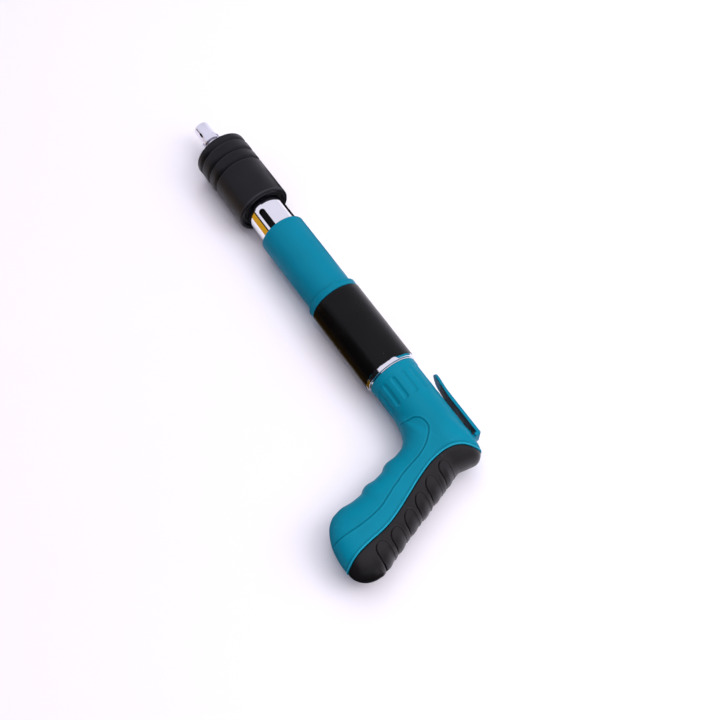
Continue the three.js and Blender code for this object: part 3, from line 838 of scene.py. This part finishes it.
def shell_details(V):
    """height to add along the outside normal of the teal shell"""
    a, y, z = -V[:, 0], V[:, 1], V[:, 2]
    h = np.zeros(len(V))
    th = np.degrees(np.arctan2(y, z))
    # raised band at the front end, with a soft step
    h += 0.5 * step01(a, 273.7, 272.8)
    # fourteen flutes with round ends
    ring = np.abs(np.hypot(y, z) - HANDLE_R) < 1.5
    arc = HANDLE_R * np.radians((th - 19.8 + 180 / 14 * 1.0) % (360 / 14) - 180 / 14)
    along = np.maximum(np.maximum(276.5 - a, a - 292.2), 0)
    r = np.hypot(arc, along) - 2.2
    h -= np.where(ring, 0.8 * step01(r, 0.25, -1.5), 0)
    # engraved line on both sides, the finger side a touch lower
    d, s = signed(V, ENGRAVED)
    side = step01(np.abs(z), 5.0, 9.0)
    h -= side * (0.62 * np.exp(-((d / 0.6) ** 2)))
    h += side * 0.14 * np.exp(-(((np.abs(d) - 1.3) / 0.5) ** 2))
    # rim along the rubber
    e = -signed(V, EDGE)[0] * PAD_SIGN
    h += 0.38 * np.exp(-(((e - 0.75) / 0.55) ** 2)) * step01(e, -0.2, 0.35)
    h -= 0.26 * np.exp(-(((e - 2.0) / 0.42) ** 2))
    h -= 0.25 * step01(e, 0.25, 0.0)
    # painted light: above zero is a painted highlight along the rim, below zero is painted shade in the groove beside
    # it
    tint = 0.9 * np.exp(-(((e - 0.7) / 0.6) ** 2)) - 0.35 * np.exp(-(((e - 2.0) / 0.5) ** 2))
    # painted shade in the engraved line, with a painted highlight line beside it
    tint -= side * 0.35 * np.exp(-((d / 0.6) ** 2))
    tint += side * 0.25 * np.exp(-(((d + 1.2) / 0.5) ** 2))
    return h, tint


def pad_details(V):
    """height to add along the outside normal of the rubber pad"""
    u, v = grip_uv(V)
    d = signed(V, EDGE)[0] * PAD_SIGN
    h = -0.9 * np.exp(-np.maximum(d - 0.25, 0) / 0.75) + 0.15
    across = np.maximum(d - 3.2, 0)
    for k, (x, y) in enumerate(TONGUES):
        uk = GD[0] * (x - G0[0]) + GD[1] * (y - G0[1]) + TONGUE_SHIFT[k]
        hw = 4.5 if k else 3.9
        # positive towards the heel; each tongue leans to the butt on its way round the back
        q = -(u - uk - 0.2 * np.minimum(across, 14))
        qy = np.maximum(TONGUE_TIP[k] + hw * 1.15 - d, 0) / 1.15
        r = np.hypot(q, qy) - hw
        left = step01(q, 2.6, -0.8)
        right = 1 - left
        h += 0.75 * step01(r, 0.5, -3.6) * (0.7 + 0.3 * left)
        h -= 0.95 * np.exp(-(((r - 0.2) / 0.36) ** 2)) * left * step01(d, 3.0, 4.6)
        h -= 0.15 * np.exp(-(((r - 0.3) / 0.45) ** 2)) * right
        h += 0.3 * np.exp(-(((r - 1.15) / 0.42) ** 2)) * right
        h -= 0.16 * np.exp(-(((r - 1.9) / 0.4) ** 2)) * right * step01(d, 9, 6)
        # the rubber between two tongues rises towards the next one
        h += 0.32 * step01(r, 0.5, 2.4) * step01(r, 6.0, 3.0) * left * step01(d, 2.0, 6.0)
    # the butt and heel ends swell
    h += 0.35 * step01(u, 86, 97) * step01(d, 1, 6)
    return h


def displaced(V, heights):
    g = gradient(V)
    n = g / np.maximum(np.linalg.norm(g, axis=1), 1e-9)[:, None]
    return V + n * heights[:, None]


def front_rings(V, F, on):
    """closes the front end of a half shell with a rounded lip and a bore"""
    T = np.concatenate([F[:, [0, 1]], F[:, [1, 2]], F[:, [2, 0]]])
    T = T[on[T].all(1)]
    S = np.sort(T, 1)
    _, idx, cnt = np.unique(S, axis=0, return_index=True, return_counts=True)
    E = T[idx[cnt == 1]]
    E = E[np.abs(-V[E[:, 0], 0] - 268.35) < 0.02]
    ids = np.unique(E)
    pos = {int(i): k for k, i in enumerate(ids)}
    th = np.arctan2(V[ids, 1], V[ids, 2])
    r0 = np.hypot(V[ids, 1], V[ids, 2])
    rows = [ids]
    out = [V]
    total = len(V)
    faces = [F]
    for a, dr in ((268.1, 0.0), (267.9, -0.08), (267.76, -0.24), (267.7, -0.5), (267.7, None), (268.2, None), (272.0, None)):
        r = r0 + dr if dr is not None else np.full(len(ids), 16.3 if a < 268 else 16.1)
        out.append(np.stack([np.full(len(ids), -a), r * np.sin(th), r * np.cos(th)], 1))
        now = np.arange(total, total + len(ids))
        total += len(ids)
        a0 = np.array([rows[-1][pos[int(i)]] for i in E[:, 0]])
        b0 = np.array([rows[-1][pos[int(i)]] for i in E[:, 1]])
        a1 = np.array([now[pos[int(i)]] for i in E[:, 0]])
        b1 = np.array([now[pos[int(i)]] for i in E[:, 1]])
        faces.append(np.stack([b0, a0, a1], 1))
        faces.append(np.stack([b0, a1, b1], 1))
        rows.append(now)
    return np.concatenate(out), np.concatenate(faces)


def solidify(o, t):
    m = o.modifiers.new("wall", "SOLIDIFY")
    m.thickness = t
    m.offset = -1
    m.use_rim = True
    m.use_even_offset = False


def disc_sdf(V, x, y, r):
    return np.where(V[:, 2] < -3, np.hypot(V[:, 0] - x, V[:, 1] - y) - r, 50.0)


def foot_sdf(V):
    qx = np.abs(V[:, 0] + 339.9) - 1.65
    qz = np.abs(V[:, 2]) - 5.4
    d = np.hypot(np.maximum(qx, 0), np.maximum(qz, 0)) + np.minimum(np.maximum(qx, qz), 0)
    return np.where(V[:, 1] < -9, d, 50.0)


def cup(x, y, r_in, r_out, z_top, z_floor, hole, seg=40):
    """counterbore seen from below: wall, floor and the screw's hole"""
    prof = [(r_out, z_top), (r_in, z_top), (r_in, z_floor), (hole, z_floor), (hole, z_floor + 1.4), (r_out, z_floor + 1.4)]
    v, f = [], []
    n = len(prof)
    for i in range(seg):
        w = 2 * math.pi * i / seg
        for r, z in prof:
            v.append((x + r * math.cos(w), y + r * math.sin(w), z))
    for i in range(seg):
        j = (i + 1) % seg
        for k in range(n):
            m = (k + 1) % n
            f.append((i * n + k, i * n + m, j * n + m, j * n + k))
    return v, f


VS, FS, _ = clip(V0, F0, -edge_d - 0.02)
VP, FP, _ = clip(V0, F0, edge_d - 0.3)
for name, sgn in (("left", 1), ("right", -1)):
    V, F, _ = clip(VS, FS, sgn * VS[:, 2] - 0.15, 0.03)
    V, F, _ = clip(V, F, foot_sdf(V))
    if sgn < 0:
        for x, y in SCREWS:
            V, F, _ = clip(V, F, disc_sdf(V, x, y, 3.8))
        V, F, _ = clip(V, F, disc_sdf(V, -290, 0, 2.8))
    on = np.abs(-V[:, 0] - 268.35) < 0.02
    heights, tint = shell_details(V)
    W = displaced(V, heights)
    W[on, 0] = -268.35
    W, F = front_rings(W, F, on)
    o = make("handle_shell_" + name + "_visual", W, F, M["shell"], "housing", ["handle_shell_" + name], angle=50)
    # the tint attribute carries the painted highlight and painted shade to the shell material
    full = np.zeros(len(W), np.float32)
    full[:len(tint)] = tint
    o.data.attributes.new("tint", "FLOAT", "POINT").data.foreach_set("value", full)
    solidify(o, 0.0018)

for k, (x, y) in enumerate(SCREWS):
    cv, cf = cup(x, y, 3.8, 4.5, -15.8, -12.2, 2.05)
    make("boss_%d" % (k + 1), cv, cf, M["teal"], "housing")

W = displaced(VP, pad_details(VP))
pad = make("grip_pad_visual", W, FP, M["pad"], "housing", ["grip_pad"], angle=60)
solidify(pad, 0.0019)


# ---- belt clip ----------------------------------------------------------
def clip_path():
    """centre line (x, y), thickness and half width from the tab to the tip"""
    rows = []
    for y in np.linspace(-15.0, -20.6, 11):
        rows.append((-339.9, y, 2.6, 5.0 + 2.0 * step01(-y, 18.8, 19.6)))
    for w in np.linspace(0, math.pi / 2, 15):
        # nearly square outside the bend, tight inside it
        out = 2.8 / (math.cos(w) ** 4.5 + math.sin(w) ** 4.5) ** (1 / 4.5)
        mid = (out + 0.2) / 2
        rows.append((-338.4 - mid * math.cos(w), -21.1 - mid * math.sin(w), out - 0.2, 7.0))
    for x in np.linspace(-337.6, -306, 26):
        rows.append((x, -22.6, 2.6, 7.0))
    for x in np.concatenate([np.linspace(-305, -288.0, 24), np.linspace(-287.6, -284.75, 22)]):
        t = (x + 306) / 21.3
        y = -22.6 - 2.5 * t**1.9
        end = max(0.0, x + 293.8) / 9.06
        rows.append((x, y, 2.6 - 0.5 * t, max(0.25, 7.0 * math.sqrt(max(0.0, 1 - end**2)))))
    return rows


def build_clip():
    rows = clip_path()
    P = np.array([(r[0], r[1]) for r in rows])
    T = np.gradient(P, axis=0)
    T /= np.linalg.norm(T, axis=1)[:, None]
    N = np.stack([T[:, 1], -T[:, 0]], 1)  # points away from the handle
    if N[len(N) // 2, 1] > 0:
        N = -N
    v, f, fm = [], [], []
    sect = None
    for (x, y, th, w), n in zip(rows, N):
        rr = min(0.85, th / 2 - 0.05, max(w - 0.05, 0.05))
        ring = []
        for cx, cy, a0 in ((w - rr, th / 2 - rr, 0), (-(w - rr), th / 2 - rr, 90), (-(w - rr), -(th / 2 - rr), 180), (w - rr, -(th / 2 - rr), 270)):
            for k in range(6):
                q = math.radians(a0 + 90 * k / 5)
                ring.append((cx + rr * math.cos(q), cy + rr * math.sin(q)))
        full = []
        for i in range(len(ring)):
            p, q = np.array(ring[i]), np.array(ring[(i + 1) % len(ring)])
            full.append(p)
            if i % 6 == 5:
                m = 6 if abs(p[1] - q[1]) < 1e-6 else 2
                full += [p + (q - p) * j / m for j in range(1, m)]
        sect = len(full)
        for z, t in full:
            v.append((x + n[0] * t, y + n[1] * t, z))
    inner_black = []
    for j in range(len(rows) - 1):
        for i in range(sect):
            a, b = j * sect + i, j * sect + (i + 1) % sect
            f.append((a, b, b + sect, a + sect))
            # the inner face from x -296.5 back to the foot takes the near-black second material
            inner = (full[i][1] + full[(i + 1) % sect][1]) / 2 < -rows[j][2] / 2 + 0.3
            inner_black.append(1 if inner and j >= 26 and rows[j][0] < -296.5 else 0)
    f.append(tuple(range(sect - 1, -1, -1)))
    f.append(tuple((len(rows) - 1) * sect + i for i in range(sect)))
    inner_black += [0, 0]
    return v, f, inner_black


cv, cf, cm = build_clip()
make("belt_clip_visual", cv, cf, [M["teal"], M["clip_black"]], "belt_clip", ["belt_clip"], face_mats=cm, angle=45)


# ---- screws -------------------------------------------------------------
def screw(name, x, y, z_low, z_high, r, replaces, shank=None):
    """pan head seen from below with a six sided socket"""
    seg = 48
    prof = [(0.001, z_low), (r - 0.7, z_low), (r - 0.28, z_low + 0.08), (r - 0.07, z_low + 0.3), (r, z_low + 0.6), (r, z_high)]
    prof += [(shank, z_high), (shank, z_high + 20.5), (0.001, z_high + 21.5)] if shank else [(0.001, z_high)]
    v, f = [], []
    n = len(prof)
    for i in range(seg):
        w = 2 * math.pi * i / seg
        v += [(x + q * math.cos(w), y + q * math.sin(w), z) for q, z in prof]
    for i in range(seg):
        j = (i + 1) % seg
        f += [(i * n + k, i * n + k + 1, j * n + k + 1, j * n + k) for k in range(n - 1)]
    f.append(tuple(i * n for i in range(seg)))
    f.append(tuple(i * n + n - 1 for i in range(seg - 1, -1, -1)))
    o = temp(name, v, f, [M["screw"]])
    hexa, hf = [], []
    for z in (z_low - 1, z_low + 1.5):
        hexa += [(x + 0.5 * r * math.cos(math.pi / 3 * k), y + 0.5 * r * math.sin(math.pi / 3 * k), z) for k in range(6)]
    hf = [tuple(range(5, -1, -1)), tuple(range(6, 12))] + [(k, (k + 1) % 6, (k + 1) % 6 + 6, k + 6) for k in range(6)]
    boolean(o, [temp("socket", hexa, hf, [M["screw"]])], bevel=0.00006)
    settle(o, "housing", [replaces])


for k, (x, y) in enumerate(SCREWS):
    screw("shell_screw_%d_visual" % (k + 1), x, y, -14.6, -12.3, 3.4, "shell_screw_%d" % (k + 1), 1.75)
screw("collar_screw_visual", -290, 0, -18.2, -14.7, 2.5, "collar_screw")

# ---- carried over CAD nodes ---------------------------------------------
CAD = {
    "muffler_core": "dark", "sleeve_bush": "rubber", "breech_block": "steel", "pin_retainer": "steel", "firing_pin": "steel",
    "pin_spring": "spring", "return_spring": "spring", "main_spring": "spring", "wiper_seal": "rubber", "guide_key": "steel",
    "hammer": "steel", "trip_block": "steel", "trip_ring": "dark", "rear_plug": "steel",
}
for name, key in CAD.items():
    me = nodes[name].data
    me.materials.clear()
    me.materials.append(M[key])


# ---- floor and lights ---------------------------------------------------
def floor():
    n = Nodes("floor")
    base = n.mix(n.remap(n.noise(1.2, 3), 0.3, 0.7, 0, 1), (0.83, 0.80, 0.86, 1), (0.87, 0.835, 0.885, 1))
    n.bump([(n.noise(300, 3), 0.03, 0.0002)])
    n.set(Base_Color=base, Roughness=0.75, Specular_IOR_Level=0.2)
    bm = bmesh.new()
    bmesh.ops.create_grid(bm, x_segments=24, y_segments=24, size=6.0)
    me = bpy.data.meshes.new("floor")
    bm.to_mesh(me)
    bm.free()
    me.materials.append(n.mat)
    o = bpy.data.objects.new("floor", me)
    scene.collection.objects.link(o)
    return o


floor()


def area(name, direction, distance, size, energy, color=(1, 1, 1), target=(-0.02, 0.0, 0.02)):
    d = Vector(direction).normalized()
    data = bpy.data.lights.new(name, "AREA")
    data.shape = "RECTANGLE"
    data.size, data.size_y = size
    data.energy = energy
    data.color = color
    o = bpy.data.objects.new(name, data)
    o.location = Vector(target) + d * distance
    o.rotation_mode = "QUATERNION"
    o.rotation_quaternion = (-d).to_track_quat("-Z", "Y")
    scene.collection.objects.link(o)
    return o


for lamp in (area("key", (-0.62, -0.62, 0.95), 1.5, (1.0, 1.0), 9.0, (1.0, 0.985, 1.0)),
             area("top", (0.0, -0.22, 1.0), 2.2, (2.8, 2.0), 39.0, (0.98, 0.975, 1.0))):
    lamp.visible_glossy = False  # the cards below are what the metal reflects


def card(name, corners, color, strength):
    """a studio card that only reflections see: black flags and a warm reflector"""
    n = Nodes(name)
    e = n.new("ShaderNodeEmission")
    e.inputs["Color"].default_value = color
    e.inputs["Strength"].default_value = strength
    n.link(e.outputs[0], n.t.nodes["Material Output"].inputs["Surface"])
    me = bpy.data.meshes.new(name)
    me.from_pydata([tuple(c) for c in corners], [], [(0, 1, 2, 3)])
    me.materials.append(n.mat)
    o = bpy.data.objects.new(name, me)
    scene.collection.objects.link(o)
    o.visible_camera = o.visible_diffuse = o.visible_shadow = o.visible_transmission = o.visible_volume_scatter = False


def tool_card(name, corners, color, strength=1.0):
    """corners in the tool's own millimetres"""
    card(name, [to_row(c) for c in corners], color, strength)


GOLD, BLACK, WHITE = (0.62, 0.31, 0.015, 1), (0.008, 0.008, 0.009, 1), (0.85, 0.83, 0.95, 1)
FZ = -20.9
WY = 702.0  # distance of the upright cards beyond the grip
tool_card("gold_table", [(-135, 70, FZ), (-45, 70, FZ), (500, WY, FZ), (150, WY, FZ)], GOLD)
tool_card("gold_upright", [(150, WY, FZ), (500, WY, FZ), (500, WY, 135), (150, WY, 135)], GOLD)
tool_card("black_upright_front", [(150, WY, 135), (500, WY, 135), (500, WY, 250), (150, WY, 250)], BLACK)
tool_card("gold_rear", [(-285, 27, FZ), (-150, 27, FZ), (-125, 80, FZ), (-270, 80, FZ)], GOLD, 0.2)
tool_card("black_table_rear", [(-900, 82, FZ), (-141, 82, FZ), (144, WY, FZ), (-900, WY, FZ)], BLACK)
tool_card("black_upright_rear", [(-900, WY, FZ), (147, WY, FZ), (147, WY, 560), (-900, WY, 560)], BLACK)
tool_card("white_upright", [(147, WY, 253), (503, WY, 253), (503, WY, 1900), (147, WY, 1900)], WHITE)
tool_card("white_side", [(503, WY, FZ), (2600, WY, FZ), (2600, WY, 1900), (503, WY, 1900)], WHITE)
tool_card("black_edge", [(-150, -90, FZ), (-40, -90, FZ), (-40, -17, FZ), (-150, -17, FZ)], BLACK)
tool_card("white_ceiling", [(-2600, -2600, 2100), (2600, -2600, 2100), (2600, 2500, 2100), (-2600, 2500, 2100)], WHITE)
tool_card("white_wall", [(-2600, -2600, FZ), (2600, -2600, FZ), (2600, -2600, 2100), (-2600, -2600, 2100)], WHITE)

# soft room light: bright over the back of the tool, dark beyond the grip
world = bpy.data.worlds.new("world")
scene.world = world
world.use_nodes = True
wt = world.node_tree
where = wt.nodes.new("ShaderNodeTexCoord")
split = wt.nodes.new("ShaderNodeSeparateXYZ")
wt.links.new(where.outputs["Generated"], split.inputs[0])
ramp = wt.nodes.new("ShaderNodeMapRange")
ramp.interpolation_type = "SMOOTHSTEP"
for key, value in (("From Min", 0.0), ("From Max", 0.75), ("To Min", 0.0), ("To Max", 1.0)):
    ramp.inputs[key].default_value = value
wt.links.new(split.outputs["Y"], ramp.inputs["Value"])
blend = wt.nodes.new("ShaderNodeMix")
blend.data_type = "RGBA"
blend.inputs[6].default_value = (0.52, 0.508, 0.562, 1)
blend.inputs[7].default_value = (0.31, 0.30, 0.345, 1)
wt.links.new(ramp.outputs["Result"], blend.inputs[0])
wt.links.new(blend.outputs[2], wt.nodes["Background"].inputs["Color"])
wt.nodes["Background"].inputs["Strength"].default_value = 1.0

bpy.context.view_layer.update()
